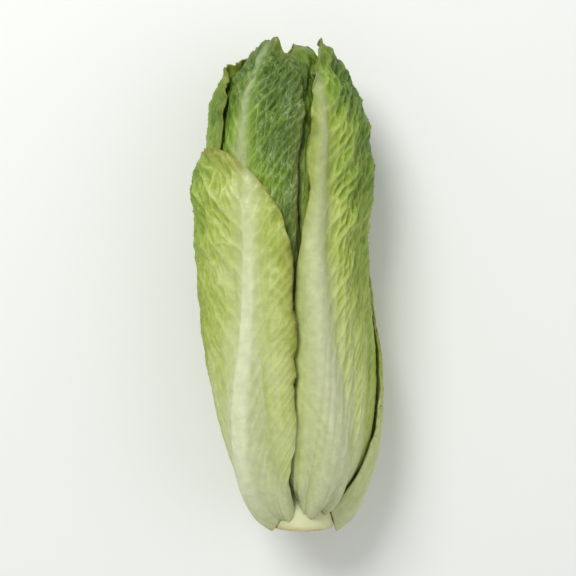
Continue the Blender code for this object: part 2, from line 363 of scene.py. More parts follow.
veins = {
    "spacingMm": 9.0,  # between side veins, along the midrib
    "steepRoot": 4.4,  # at the root a side vein climbs this much for each unit outwards
    "steepTip": 0.80,
    "steepFadeMm": 36.0,
    "curl": 0.007,  # how much more it climbs near the margin
    "wanderMm": 2.0,
    "slowWander": (11, 16),  # mm across and along
    "quickWander": (4, 6),
    "quickShare": 0.45,
    "heightMm": 0.38,
    "widthMm": 0.62,
    "ribWidth": 1.2,  # times that width, beside the midrib
    "marginThinner": 0.55,
    "marginMm": 28.0,
    "weakest": 0.55,
    "forkFade": (8.0, 8.0),  # mm from the midrib
    "forkLeast": 0.3,
    "forkMore": 0.6,
    "forkWidth": 0.75,
    "sideCells": 40,  # how many cells apart the patterns of a leaf's two sides lie
    "netCells": 1.75,  # from one side vein to the next
    "netCellMm": 5.2,
    "netWall": 0.15,  # of a cell
    "netHeightMm": 0.26,
    "fineCells": 3.5,
    "fineCellMm": 2.6,
    "fineWall": 0.20,
    "fineHeightMm": 0.12,
    "hollowWall": 0.7,  # of a cell, from its wall to its full depth
    "hollowVeinMm": 2.0,
    "hollowForkMm": 1.5,
    "hollowFork": 0.5,  # how much shallower it is on a fork
    "coveredHeight": 0.4,  # of a side vein, where another leaf presses on it
    "riseShare": 0.5,  # of the midrib's half width, over which a side vein rises from it
    "riseMm": 1.0,
}


def veinField(outMm, alongMm, seed):
    # Side veins are the level lines of along minus steepness(along) times out, less a
    # little of out squared. Each ridge is exp(-(distance / width)^2), and forks half way
    # between start further out. The two nets are the walls of random cells laid along the
    # veins.
    away = np.abs(outMm)
    side = np.where(outMm > 0, 1.0, 0.0)
    acrossMm, lengthMm = veins["slowWander"]
    wander = gentleNoise(outMm / acrossMm, alongMm / lengthMm, seed)
    acrossMm, lengthMm = veins["quickWander"]
    wander += veins["quickShare"] * gentleNoise(outMm / acrossMm, alongMm / lengthMm, seed + 1)
    steep = veins["steepTip"] + veins["steepRoot"] * np.exp(-alongMm / veins["steepFadeMm"])
    level = alongMm - steep * away - veins["curl"] * away**2
    level += veins["wanderMm"] * wander + 0.5 * veins["spacingMm"] * side
    turns = level / veins["spacingMm"]
    climb = np.hypot(1.0, steep + 2 * veins["curl"] * away)
    thinner = veins["marginThinner"] * np.clip(away / veins["marginMm"], 0, 1)
    width = veins["widthMm"] * (veins["ribWidth"] - thinner)
    offVein = np.abs(turns - np.round(turns)) * veins["spacingMm"] / climb
    strength = (1.0 - veins["weakest"]) * hashed(np.round(turns), side, seed + 2)
    strength += veins["weakest"]
    ridge = strength * np.exp(-((offVein / width) ** 2))
    offFork = np.abs(turns - np.floor(turns) - 0.5) * veins["spacingMm"] / climb
    forked = fadeIn(away, veins["forkFade"])
    forked *= veins["forkLeast"] + veins["forkMore"] * hashed(np.floor(turns), side, seed + 3)
    forkRidge = forked * np.exp(-((offFork / (veins["forkWidth"] * width)) ** 2))
    aside = veins["sideCells"] * side
    alongVeinMm = away * climb
    rows = alongVeinMm / veins["netCellMm"]
    walls = cellWalls(turns * veins["netCells"] + aside, rows, seed)
    rows = alongVeinMm / veins["fineCellMm"]
    fineWalls = cellWalls(turns * veins["fineCells"] + aside, rows, seed + 7)
    hollow = smooth(walls / veins["hollowWall"]) * smooth(offVein / veins["hollowVeinMm"])
    hollow *= 1 - veins["hollowFork"] * forked * (offFork < veins["hollowForkMm"])
    return {
        "ridge": np.maximum(ridge, forkRidge),
        "net": np.exp(-((walls / veins["netWall"]) ** 2)),
        "fine": np.exp(-((fineWalls / veins["fineWall"]) ** 2)),
        "hollow": hollow,
    }


# The places of a leaf's grid

gridRule = {
    "sideColumns": 0.35,  # how much closer the columns lie towards the sides
    "edgePower": 4,  # how near the edge the inner face bends to the margin's air
    "sidePower": 10,  # and how near it the margin wanders and frills, at a side
    "tipPower": 14,  # and at the tip
    "leastRadius": 0.008,
}


def gridPlaces(leaf, columns, rows, crowding):
    # Grid of t across and v up: u = t plus 0.35 of (t - t^3), across = 0.6u + 0.4u^3, up is
    # 1 less (1 - v) to the power of the crowding, and s is the leaf's end at u times up.
    t = np.linspace(-1.0, 1.0, columns + 1)
    up = 1.0 - (1.0 - np.linspace(0.0, 1.0, rows + 1)) ** crowding
    closer = gridRule["sideColumns"]
    u, up = np.meshgrid((1.0 + closer) * t - closer * t**3, up)
    s = endOf(leaf, u) * up
    alongMm = np.interp(s, arcPlaces, arcLengthsMm)
    return {
        "s": s,
        "across": (1.0 - leafRule["marginColumns"]) * u + leafRule["marginColumns"] * u**3,
        "up": up,
        "side": np.sign(u),
        "alongMm": alongMm,
        "endMm": np.interp(endOf(leaf, u), arcPlaces, arcLengthsMm) - alongMm,
        "radiusMm": 1000 * np.maximum(shellRadius(s), gridRule["leastRadius"]),
    }


edges = {
    "wanderMm": 1.0,
    "wanderLengthMm": 13,
    "quickLengthMm": 5,
    "quickShare": 0.6,
    "inset": 0.4,  # of the wander, so that the margin keeps inside the solid's more often
    "sideRows": (2, 5, 9),  # rows of noise, so that the two sides differ
    "tornAtMm": 66,  # the ragged stretch of a drying margin
    "tornHalfMm": 15,
    "tornLengthMm": 3.1,
    "tornLeast": 0.5,
    "tornMore": 1.5,
    "frillMm": 0.9,
    "frillLengthMm": 9.0,
    "frillDrift": 0.3,
    "frillDriftMm": 14,
    "frillFade": (0.42, 0.30),
    "rimMm": 2.4,
    "rimFade": (0.15, 0.20),
    "thinner": 0.55,  # how much of the blade's thickness the very edge has lost
    "thinSide": 40,
    "thinTip": 60,
}


def marginWander(grid, look, seed):
    # noise of two lengths along the margin, and on the side of lesser angle of a ragged leaf
    # a third and shorter one, times exp(-((along - its place) / its half)^2)
    slow, quick, torn = (row * grid["side"] for row in edges["sideRows"])
    wander = gentleNoise(grid["alongMm"] / edges["wanderLengthMm"], slow, seed)
    quickWander = gentleNoise(grid["alongMm"] / edges["quickLengthMm"], quick, seed)
    wander += edges["quickShare"] * quickWander
    offTorn = (grid["alongMm"] - edges["tornAtMm"]) / edges["tornHalfMm"]
    raggedness = np.exp(-(offTorn**2)) * (grid["side"] < 0) * look["ragged"]
    tears = gentleNoise(grid["alongMm"] / edges["tornLengthMm"], torn, seed)
    return wander + raggedness * (edges["tornLeast"] + edges["tornMore"] * tears) - edges["inset"]


def uncovered(order, s, theta):
    # 1 where no leaf further out lies over this one
    free = np.ones(s.shape)
    for outer in leaves[:order]:
        free *= 1.0 - cover(outer, s, fromMiddle(outer, s, theta))
    return free


def ruffleOf(leaf, s, psi, free):
    # two sine waves multiplied, along the head and round it, on the free margins
    along = s * (head["belly"] + head["crown"]) * wholeTurn / leafRule["ruffleLength"]
    roundHead = psi * head["radius"] * wholeTurn / leafRule["ruffleLength"]
    wave = 1.0
    for (alongRate, roundRate), phase in zip(leafRule["ruffleWaves"], leaf["phases"]):
        wave = wave * np.sin(alongRate * along + roundRate * roundHead + phase)
    return leafRule["ruffle"] * (1.0 + wave) * free * fadeIn(s, leafRule["ruffleFade"])


def innerHeight(order, grid):
    # the stack inside plus air, bent to the margin's air and the ruffle by 1 less
    # (1 - across^4)(1 - up^4)
    s, free = grid["s"], grid["free"]
    air = np.interp(s, *airTable)
    lift = fadeIn(s, leafRule["marginLift"])
    marginAir = leafRule["marginAir"] + (leafRule["leastAir"] - leafRule["marginAir"]) * lift
    power = gridRule["edgePower"]
    edge = 1.0 - (1.0 - grid["across"] ** power) * (1.0 - grid["up"] ** power)
    bent = marginAir - air + ruffleOf(leaves[order], s, grid["psi"], free)
    return stackHeight(leaves[order + 1:], air, s, grid["theta"]) + air + edge * bent


# The relief of a blade

blade = {
    "hollowMm": 1.25,  # from a vein down to the middle of the blade between two veins
    "hollowMean": 0.20,  # taken off, so that the relief stays centred on the solid's face
    "puckerMm": 0.85,
    "puckerLengthMm": 15.0,
    "puckerStretch": 1.5,  # how much longer a pucker is outwards
    "puckerNoise": 0.6,
    "puckerNoiseMm": (8, 9),
    "slant": 0.8,  # how much puckers and creases climb outwards
    "crumpleMm": 0.42,
    "crumpleLengthMm": 3.6,
    "crumpleLean": 0.5,
    "crumpleStretch": 1.6,
    "creaseMean": 0.27,
    "riseFade": (0.15, 0.43),
    "besideRib": 0.45,  # of the relief, beside the midrib
    "fullOutMm": 18.0,
    "ribEdge": 0.75,  # of the midrib's half width, where the relief begins
    "ribSlope": 0.6,
    "ribSlopeMm": 3.0,
    "coveredShare": 0.28,  # of the relief, where another leaf presses on it
    "peekShare": 0.60,  # and at a tip that looks out at the crown
    "peekFade": (0.84, 0.08),
}
midrib = {
    "keelHalfMm": 1.6,
    "keelSlopeMm": 1.9,
    "keelRise": 0.2,
    "keelFade": (0.36, 0.26),
    "strandHeightMm": 0.30,  # of the fibres along the foot
    "strandTurns": (13, 30),  # strands for each radian round the head
    "strandLengthsMm": (60, 45),
    "fineStrands": 0.7,
    "strandFade": (0.12, 0.45),
}
plainLook = {
    "greener": 0.0,
    "keelMm": 0.12,
    "keelPale": 0.14,
    "ribPale": 0.9,
    "olive": 0.45,  # of the drying margin
    "ragged": 0.0,
    "hollow": 1.0,
}
leafLooks = {  # what differs, by rank from the outermost leaf
    0: {"greener": 0.02},
    1: {
        "keelMm": 0.75,
        "keelPale": 0.68,
        "ribPale": 0.45,
        "olive": 0.85,
        "ragged": 1.0,
        "hollow": 0.75,
    },
    2: {"greener": -0.02},
    4: {"greener": 0.05, "hollow": 0.8},
    6: {"greener": 0.27, "hollow": 1.25},
    7: {"greener": 0.06},
}
heartPaler = 0.024  # how much less green each leaf is than the one outside it, in the heart


def lookOf(rank):
    # the plain look, less green by each rank past the last one named, and then what differs
    inward = {"greener": -heartPaler * max(rank - max(leafLooks), 0)}
    return {**plainLook, **inward, **leafLooks.get(rank, {})}


def blistersMm(leaf, look, grid, field, seed):
    # Puckers are two sines multiplied plus noise, creases are 1 less twice the size of
    # noise drawn out along the veins, and hollows lie between the veins.
    outMm, away = grid["outMm"], grid["away"]
    first, second = leaf["phases"]
    climbing = grid["alongMm"] - blade["slant"] * away
    pucker = np.sin(wholeTurn * climbing / blade["puckerLengthMm"] + first)
    outLength = blade["puckerStretch"] * blade["puckerLengthMm"]
    pucker *= np.sin(wholeTurn * away / outLength + second)
    acrossMm, lengthMm = blade["puckerNoiseMm"]
    noise = gentleNoise(outMm / acrossMm, grid["alongMm"] / lengthMm, seed + 9)
    pucker += blade["puckerNoise"] * noise
    across = (outMm + blade["crumpleLean"] * grid["alongMm"]) / blade["crumpleLengthMm"]
    along = climbing / (blade["crumpleStretch"] * blade["crumpleLengthMm"])
    creases = 1.0 - 2.0 * np.abs(gentleNoise(across, along, seed + 12))
    relief = blade["puckerMm"] * pucker
    relief += blade["crumpleMm"] * (creases - blade["creaseMean"])
    return relief + blade["hollowMm"] * look["hollow"] * (blade["hollowMean"] - field["hollow"])


def frillMm(grid, seed):
    # a sine along the margin, whose place drifts by noise
    drift = gentleNoise(grid["alongMm"] / edges["frillDriftMm"], grid["side"], seed)
    turns = grid["alongMm"] / edges["frillLengthMm"] + edges["frillDrift"] * drift
    return edges["frillMm"] * np.sin(wholeTurn * turns) * fadeIn(grid["s"], edges["frillFade"])


def footStrands(grid, seed):
    # noise drawn out along the leaf in two sizes, faded out above the foot
    turns, fineTurns = midrib["strandTurns"]
    lengthMm, fineLengthMm = midrib["strandLengthsMm"]
    strands = gentleNoise(grid["psi"] * turns, grid["alongMm"] / lengthMm, seed)
    fine = gentleNoise(grid["psi"] * fineTurns, grid["alongMm"] / fineLengthMm, seed + 4)
    strands += midrib["fineStrands"] * fine
    return strands * (1.0 - fadeIn(grid["s"], midrib["strandFade"]))


def keelOf(grid):
    # 1 along the midrib's middle, with a smooth step down to each side and at both ends
    keel = 1.0 - fadeIn(grid["away"], (midrib["keelHalfMm"], midrib["keelSlopeMm"]))
    keel *= smooth(grid["s"] / midrib["keelRise"])
    return keel * (1.0 - fadeIn(grid["s"], midrib["keelFade"]))


# What the materials read at each point

paint = {
    "awayMm": 30.0,  # from the midrib, where the blade is greenest
    "ribWidth": 0.95,  # of the midrib's half width
    "ribPower": 2.4,
    "veinFainter": 0.3,  # side veins, from the foot to the tip
    "net": 0.5,
    "netFade": (0.2, 0.3),
}


def paintedVeins(s, field):
    # the ridges, less towards the tip, plus the net, more towards it
    ridges = field["ridge"] * (1 - paint["veinFainter"] * s)
    return np.clip(ridges + field["net"] * paint["net"] * fadeIn(s, paint["netFade"]), 0, 1)


def leafGrid(order, columns, rows, crowding):
    # The inner face is its height plus the blisters. The outer one adds the blade's
    # thickness, thinner by across^40 or up^60 at the edge, and the raised veins.
    leaf = leaves[order]
    look = lookOf(order)
    seed = 3.0 + order
    grid = gridPlaces(leaf, columns, rows, crowding)
    s, across, up = grid["s"], grid["across"], grid["up"]
    margin = np.maximum(np.abs(across) ** gridRule["sidePower"], up ** gridRule["tipPower"])
    half = halfAngle(leaf, s)
    sideMm = (1.0 - np.abs(across)) * half * grid["radiusMm"]
    shiftMm = margin * across * edges["wanderMm"] * marginWander(grid, look, seed)
    grid["psi"] = half * across + shiftMm / grid["radiusMm"]
    grid["theta"] = middle(leaf, s) + grid["psi"]
    grid["free"] = uncovered(order, s, grid["theta"])
    grid["outMm"] = (grid["psi"] - ribAngle(leaf, s)) * grid["radiusMm"]
    grid["away"] = np.abs(grid["outMm"])
    free, away = grid["free"], grid["away"]
    height = innerHeight(order, grid)

    ribMm = 1000 * ribHalfWidth(s)
    field = veinField(grid["outMm"], grid["alongMm"], seed)
    ribSlopeMm = blade["ribSlope"] * ribMm + blade["ribSlopeMm"]
    offRib = fadeIn(away, (blade["ribEdge"] * ribMm, ribSlopeMm))
    savoy = offRib * fadeIn(s, blade["riseFade"])
    savoy *= blade["besideRib"] + (1.0 - blade["besideRib"]) * smooth(away / blade["fullOutMm"])
    shown = blade["coveredShare"] + (1.0 - blade["coveredShare"]) * free
    shown = np.maximum(shown, blade["peekShare"] * fadeIn(s, blade["peekFade"]))
    reliefMm = blistersMm(leaf, look, grid, field, seed) * savoy * shown
    reliefMm += frillMm(grid, seed) * margin * free

    keel = keelOf(grid)
    strands = footStrands(grid, seed)
    shownVeins = veins["coveredHeight"] + (1.0 - veins["coveredHeight"]) * free
    risen = smooth(away / (veins["riseShare"] * ribMm + veins["riseMm"]))
    surfaceMm = veins["heightMm"] * field["ridge"] * risen * shownVeins
    surfaceMm += veins["netHeightMm"] * field["net"] * savoy
    surfaceMm += veins["fineHeightMm"] * field["fine"] * savoy
    surfaceMm += midrib["strandHeightMm"] * strands + look["keelMm"] * keel

    atEdge = np.maximum(np.abs(across) ** edges["thinSide"], up ** edges["thinTip"])
    thick = thickness(leaf, s, grid["psi"]) * (1.0 - edges["thinner"] * atEdge)
    inner = place(s, grid["theta"], height + 0.001 * reliefMm)
    outer = place(s, grid["theta"], height + thick + 0.001 * (reliefMm + surfaceMm))
    toEdgeMm = np.minimum(sideMm, grid["endMm"])
    looks = {
        "reach": s,
        "away": np.clip(away / paint["awayMm"], 0, 1),
        "ribness": np.exp(-((away / (paint["ribWidth"] * ribMm)) ** paint["ribPower"])),
        "keel": keel,
        "vein": paintedVeins(s, field),
        "fineVein": field["fine"] * offRib,
        "sunk": field["hollow"] * savoy,
        "strand": strands,
        "rim": np.exp(-toEdgeMm / edges["rimMm"]) * fadeIn(s, edges["rimFade"]),
    }
    return inner, outer, looks


def linkPiece(name, mesh, material, node):
    # the piece rides on the head's only body and takes the place of one solid
    piece = bpy.data.objects.new(name, mesh)
    bpy.context.scene.collection.objects.link(piece)
    mesh.materials.append(material)
    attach(piece, "root")
    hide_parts(node)


def shapedMesh(name, points, faces, looks):
    # points and faces go in as whole arrays, and each look is a number for each point
    mesh = bpy.data.meshes.new(name)
    corners = np.concatenate([part.ravel() for part in faces]).astype(np.int32)
    sizes = np.concatenate([np.full(len(part), part.shape[1]) for part in faces])
    mesh.vertices.add(len(points))
    mesh.vertices.foreach_set("co", points.ravel())
    mesh.loops.add(len(corners))
    mesh.loops.foreach_set("vertex_index", corners)
    mesh.polygons.add(len(sizes))
    mesh.polygons.foreach_set("loop_start", (np.cumsum(sizes) - sizes).astype(np.int32))
    mesh.update(calc_edges=True)
    mesh.validate()
    mesh.shade_smooth()
    for key, values in looks.items():
        layer = mesh.attributes.new(key, "FLOAT", "POINT")
        layer.data.foreach_set("value", values.astype(np.float32))
    return mesh


def leafMesh(name, inner, outer, looks):
    # two grids of points back to back, with a strip of quads round the rim
    rows, columns = inner.shape[:2]
    count = rows * columns
    index = np.arange(count).reshape(rows, columns)
    corners = [index[:-1, :-1], index[:-1, 1:], index[1:, 1:], index[1:, :-1]]
    innerQuads = np.stack(corners, axis=-1).reshape(-1, 4)
    rim = np.concatenate([index[0, :-1], index[:-1, -1], index[-1, :0:-1], index[:0:-1, 0]])
    following = np.roll(rim, -1)
    rimQuads = np.stack([rim, rim + count, following + count, following], axis=-1)
    points = np.concatenate([inner.reshape(-1, 3), outer.reshape(-1, 3)])
    both = {key: np.tile(values.ravel(), 2) for key, values in looks.items()}
    return shapedMesh(name, points, [innerQuads, innerQuads[:, ::-1] + count, rimQuads], both)


def roundMesh(name, points, looks):
    # rings of points from the low end to the high one, each end drawn into one pole
    rings, columns = points.shape[:2]
    index = 1 + np.arange((rings - 2) * columns).reshape(-1, columns)
    following = np.roll(index, -1, axis=1)
    corners = [index[:-1], index[1:], following[1:], following[:-1]]
    quads = np.stack(corners, axis=-1).reshape(-1, 4)
    low = np.zeros(columns, dtype=int)
    high = np.full(columns, 1 + index.size)
    lowCap = np.stack([low, index[0], following[0]], axis=-1)
    highCap = np.stack([high, following[-1], index[-1]], axis=-1)
    poles = points[[0, -1]].mean(axis=1)
    allPoints = np.concatenate([poles[:1], points[1:-1].reshape(-1, 3), poles[1:]])
    spread = {}
    for key, values in looks.items():
        spread[key] = np.concatenate([values[0, :1], values[1:-1].ravel(), values[-1, :1]])
    return shapedMesh(name, allPoints, [quads, lowCap, highCap], spread)


# Materials

def linear(hexColour):
    # sRGB hex to linear: below 0.04045 divided by 12.92, else to the power 2.4
    parts = [int(hexColour[i:i + 2], 16) / 255 for i in (1, 3, 5)]
    bent = [c / 12.92 if c <= 0.04045 else ((c + 0.055) / 1.055) ** 2.4 for c in parts]
    return (*bent, 1.0)


def addNode(tree, kind, settings=None, links=None):
    # settings are a ramp's stops, sockets by name or number, or the node's own properties
    node = tree.nodes.new(kind)
    for key, value in (settings or {}).items():
        if key == "stops":
            while len(node.color_ramp.elements) < len(value):
                node.color_ramp.elements.new(0.5)
            for element, (position, colour) in zip(node.color_ramp.elements, value):
                element.position = position
                element.color = linear(colour)
        elif isinstance(key, int) or key in node.inputs:
            node.inputs[key].default_value = value
        else:
            setattr(node, key, value)
    for socket, source in (links or {}).items():
        tree.links.new(source, node.inputs[socket])
    return node


def newMaterial(name):
    # the material, its nodes, its shader, and a place in the object's own coordinates
    material = bpy.data.materials.new(name)
    material.use_nodes = True
    tree = material.node_tree
    where = addNode(tree, "ShaderNodeTexCoord").outputs["Object"]
    return material, tree, tree.nodes["Principled BSDF"], where


def span(fromMin, fromMax, toMin, toMax):
    # settings that turn one range of numbers into another
    return {"From Min": fromMin, "From Max": fromMax, "To Min": toMin, "To Max": toMax}


leafColours = {
    # foot: the pale foot's own colour, darkened a little as painted shade for the shadow on the
    # lower part of the head
    "foot": "#c1c79c",
    "pale": "#b9c47c",
    "mid": "#9cae42",
    "green": "#6b8d12",
    "dark": "#395d05",
    "vein": "#c8d386",
    "keel": "#dfe4c2",
    "olive": "#87843a",
}
# the ramp starts at the foot colour, which is partly the foot's own pale tone and partly painted
# shade
greenStops = (("foot", 0.0), ("pale", 0.27), ("mid", 0.50), ("green", 0.76), ("dark", 1.0))
greenBy = {  # the range of each thing that makes a place greener, and what it adds
    "reach": (0.12, 0.95, 0.0, 0.86),
    "away": (0.05, 0.80, -0.10, 0.24),
    "mottle": (0.25, 0.75, -0.13, 0.13),
    "sunk": (0.0, 1.0, 0.0, 0.13),
    "strand": (-1.0, 1.0, 0.20, -0.20),
    "rim": (0.0, 1.0, 0.0, 0.10),
}
leafFinish = {
    "mottleMm": 5.0,
    "mottleDetail": 4.0,
    "grainMm": 0.9,
    "grainDetail": 3.0,
    "blotches": 333,  # a metre, in a noise texture of scale 1
    "middleNoise": (0.3, 0.7),  # the range that most of a noise texture lies in
    "grainTone": (0.91, 1.08),
    "fineVein": 0.15,
    "roughness": (0.32, 0.48),
    "cellMm": 1.4,  # far smaller in life, drawn as coarse as it needs to show
    "grainHeight": 0.6,  # against the cells'
    "bumpMm": 0.25,
    "bump": 0.35,
    "subsurface": 0.12,
    "scatterMm": 2.5,
    "scatter": (0.9, 1.0, 0.35),
    "ior": 1.38,
}


def freshLeaf(name, look):
    # Fresh lettuce leaf: a thin wet sheet of cells under a soft wax. The eye sees a broad
    # gloss, light coming through the blade, pale veins and ribs, and greener tips.
    material, tree, shader, where = newMaterial(name)
    fac = {}
    for key in ("reach", "away", "ribness", "keel", "vein", "fineVein", "sunk", "strand", "rim"):
        fac[key] = addNode(tree, "ShaderNodeAttribute", {"attribute_name": key}).outputs["Fac"]
    for key in ("mottle", "grain"):
        scale = leafFinish["blotches"] / leafFinish[key + "Mm"]
        settings = {"Scale": scale, "Detail": leafFinish[key + "Detail"]}
        fac[key] = addNode(tree, "ShaderNodeTexNoise", settings, {"Vector": where}).outputs["Fac"]

    # how green each place is, from 0 at the foot to 1 at the darkest tip
    green = None
    for key, (fromMin, fromMax, toMin, toMax) in greenBy.items():
        more = look["greener"] if key == "mottle" else 0.0
        settings = span(fromMin, fromMax, more + toMin, more + toMax)
        part = addNode(tree, "ShaderNodeMapRange", settings, {"Value": fac[key]}).outputs[0]
        if green is not None:
            part = addNode(tree, "ShaderNodeMath", {}, {0: green, 1: part}).outputs[0]
        green = part
    settings = {"stops": tuple((stop, leafColours[key]) for key, stop in greenStops)}
    colour = addNode(tree, "ShaderNodeValToRGB", settings, {"Fac": green}).outputs["Color"]

    # What lies over the green: a colour, its attribute, the most of it, and what makes it
    # fade, from one value to the other.
    for key, over, most, fadeBy, fadeLimits in (
        ("vein", fac["fineVein"], leafFinish["fineVein"], fac["reach"], (0.0, 1.0, 1.0, 1.0)),
        ("vein", fac["vein"], 1.0, green, (0.4, 1.0, 0.52, 0.13)),
        ("olive", fac["rim"], look["olive"], fac["reach"], (0.0, 1.0, 1.0, 1.0)),
        # the foot colour, its own pale tone darkened by painted shade, laid over the midrib
        ("foot", fac["ribness"], 1.0, fac["reach"], (0.25, 1.0, look["ribPale"], 0.25)),
        ("keel", fac["keel"], look["keelPale"], fac["reach"], (0.0, 0.6, 1.0, 0.7)),
    ):
        fade = addNode(tree, "ShaderNodeMapRange", span(*fadeLimits), {"Value": fadeBy}).outputs[0]
        settings = {"operation": "MULTIPLY"}
        share = addNode(tree, "ShaderNodeMath", settings, {0: over, 1: fade}).outputs[0]
        settings = {"operation": "MULTIPLY", "use_clamp": True, 1: most}
        share = addNode(tree, "ShaderNodeMath", settings, {0: share}).outputs[0]
        settings = {"data_type": "RGBA", 7: linear(leafColours[key])}
        colour = addNode(tree, "ShaderNodeMix", settings, {0: share, 6: colour}).outputs[2]
    settings = span(*leafFinish["middleNoise"], *leafFinish["grainTone"])
    speck = addNode(tree, "ShaderNodeMapRange", settings, {"Value": fac["grain"]}).outputs[0]
    settings = {"operation": "SCALE"}
    toned = addNode(tree, "ShaderNodeVectorMath", settings, {0: colour, 3: speck}).outputs[0]
    tree.links.new(toned, shader.inputs["Base Color"])

    settings = span(*leafFinish["middleNoise"], *leafFinish["roughness"])
    rough = addNode(tree, "ShaderNodeMapRange", settings, {"Value": fac["mottle"]}).outputs[0]
    tree.links.new(rough, shader.inputs["Roughness"])
    settings = {"feature": "DISTANCE_TO_EDGE", "Scale": 1000 / leafFinish["cellMm"]}
    cells = addNode(tree, "ShaderNodeTexVoronoi", settings, {"Vector": where}).outputs["Distance"]
    settings = {"operation": "MULTIPLY_ADD", 1: leafFinish["grainHeight"]}
    fine = addNode(tree, "ShaderNodeMath", settings, {0: fac["grain"], 2: cells}).outputs[0]
    settings = {"Strength": leafFinish["bump"], "Distance": 0.001 * leafFinish["bumpMm"]}
    bump = addNode(tree, "ShaderNodeBump", settings, {"Height": fine}).outputs["Normal"]
    tree.links.new(bump, shader.inputs["Normal"])
    shader.inputs["Subsurface Weight"].default_value = leafFinish["subsurface"]
    shader.inputs["Subsurface Radius"].default_value = leafFinish["scatter"]
    shader.inputs["Subsurface Scale"].default_value = 0.001 * leafFinish["scatterMm"]
    shader.inputs["IOR"].default_value = leafFinish["ior"]
    return material


# The leaves themselves

# columns, rows, and how much the rows crowd towards the tip
fineness = {"shown": (172, 262, 1.0), "outer": (84, 156, 1.1), "inner": (50, 78, 1.8)}
shownRanks = (1, 4, 6)
outerRanks = (0, 2, 3, 5, 7)
restBlade = 0.0006  # the least thickness of the lowest leaf where it lies flat


def addLeaf(order):
    # one leaf on its grid, finer the more of it shows
    size = "shown" if order in shownRanks else "outer" if order in outerRanks else "inner"
    inner, outer, looks = leafGrid(order, *fineness[size])
    if order == 0:  # the lowest leaf is flat where the head rests on it
        outer[..., 2] = np.maximum(outer[..., 2], 0.0)
        inner[..., 2] = np.maximum(inner[..., 2], restBlade)
    name = f"lettuceLeaf{order + 1:02d}"
    material = freshLeaf(f"freshLeaf{order + 1:02d}", lookOf(order))
    linkPiece(name, leafMesh(name, inner, outer, looks), material, f"leaf_{order + 1:02d}")


for order in range(len(leaves)):
    addLeaf(order)
print("leaves made")


# The heart

heartBud = {
    "folds": 3,
    "foldTwist": 1.2,
    "foldDepth": 0.0010,
    "foldRise": 0.3,
    "foldEnd": 0.1,
    "from": 0.02,  # how far along its shell its two poles lie
    "upTo": 0.98,
    "columns": 100,
    "rings": 80,
    "seed": 61,
    "veinHeight": 0.0002,
    "away": 0.3,  # its green, as far from a midrib as this
    "rimFade": (0.9, 0.1),
}


def addHeart():
    # A closed egg of size heartSize. Each rolled fold sinks as roll squared minus 1.
    turn = np.linspace(0, wholeTurn, heartBud["columns"], endpoint=False)
    rings = np.linspace(heartBud["from"], heartBud["upTo"], heartBud["rings"])
    theta, s = np.meshgrid(turn, rings)
    roll = (theta / wholeTurn * heartBud["folds"] + heartBud["foldTwist"] * s) % 1.0
    folds = heartBud["foldDepth"] * (roll**2 - 1.0)
    folds *= smooth(s / heartBud["foldRise"]) * smooth((1.0 - s) / heartBud["foldEnd"])
    foldWide = wholeTurn / heartBud["folds"] * head["heartSize"] * shellRadius(s)
    alongMm = np.interp(s, arcPlaces, arcLengthsMm)
    field = veinField(1000 * (roll - 0.5) * foldWide, alongMm, heartBud["seed"])
    looks = {
        "reach": s,
        "away": np.full(s.shape, heartBud["away"]),
        "vein": field["ridge"],
        "fineVein": field["fine"],
        "rim": fadeIn(roll, heartBud["rimFade"]),
    }
    for key in ("ribness", "keel", "sunk", "strand"):
        looks[key] = np.zeros(s.shape)
    points = place(s, theta, folds + heartBud["veinHeight"] * field["ridge"])
    mesh = roundMesh("lettuceHeart", points, looks)
    linkPiece("lettuceHeart", mesh, freshLeaf("youngLeaf", lookOf(len(leaves))), "heart")


addHeart()


# The stem

stemCut = {
    "seatGap": 0.00045,
    "heartGap": 0.0012,
    "edge": 0.0008,  # how round the cut's rim is
    "columns": 112,
    "faceRings": 34,
    "rimRings": 6,
    "sideRings": 29,
    "topRings": 7,
    "faceFade": 0.5,  # of the rim's roundness, over which the cut face's marks fade
    "pithMm": 0.35,  # how far the middle has shrunk in
    "pithShare": 0.75,  # of the radius
    "knifeMm": 0.07,
    "knifeWaves": 2300,  # radians of wave a metre
    "knifeAcross": (0.8, 0.6),
    "knifeSway": 3,
    "knifeSwayWaves": 300,
    "pitMm": 0.05,
    "pitCells": 900,  # a metre, of the pits and of the scars
    "pitSeed": 71,
    "scarMm": 0.12,  # of the rings left by the leaves that were pulled off
    "scarSway": 0.0012,
    "scarLeast": 0.004,
    "scarSeed": 73,
    "browningMm": 1.3,  # how far the rim has browned
    "browned": 0.75,
    "brownedMore": 0.45,
    "brownedPatches": 3,
    "brownedPlace": 20,  # in the noise
    "brownedSeed": 75,
}
stemColours = {
    "core": "#e2e0be",
    "flesh": "#d9d7b0",
    "ring": "#c6b884",
    "side": "#ccd0a0",
    "rust": "#a98a5c",
}
stemStops = (("core", 0.0), ("flesh", 0.46), ("ring", 0.58), ("flesh", 0.70), ("flesh", 1.0))
stemFinish = {
    "noiseMm": 3.0,
    "noiseDetail": 4.0,
    "uneven": 0.14,
    "side": 0.8,
    "rust": 0.75,
    "bumpMm": 0.3,
    "bump": 0.4,
    "roughness": 0.46,
    "subsurface": 0.2,
    "scatterMm": 3.0,
    "scatter": (1.0, 0.9, 0.5),
}


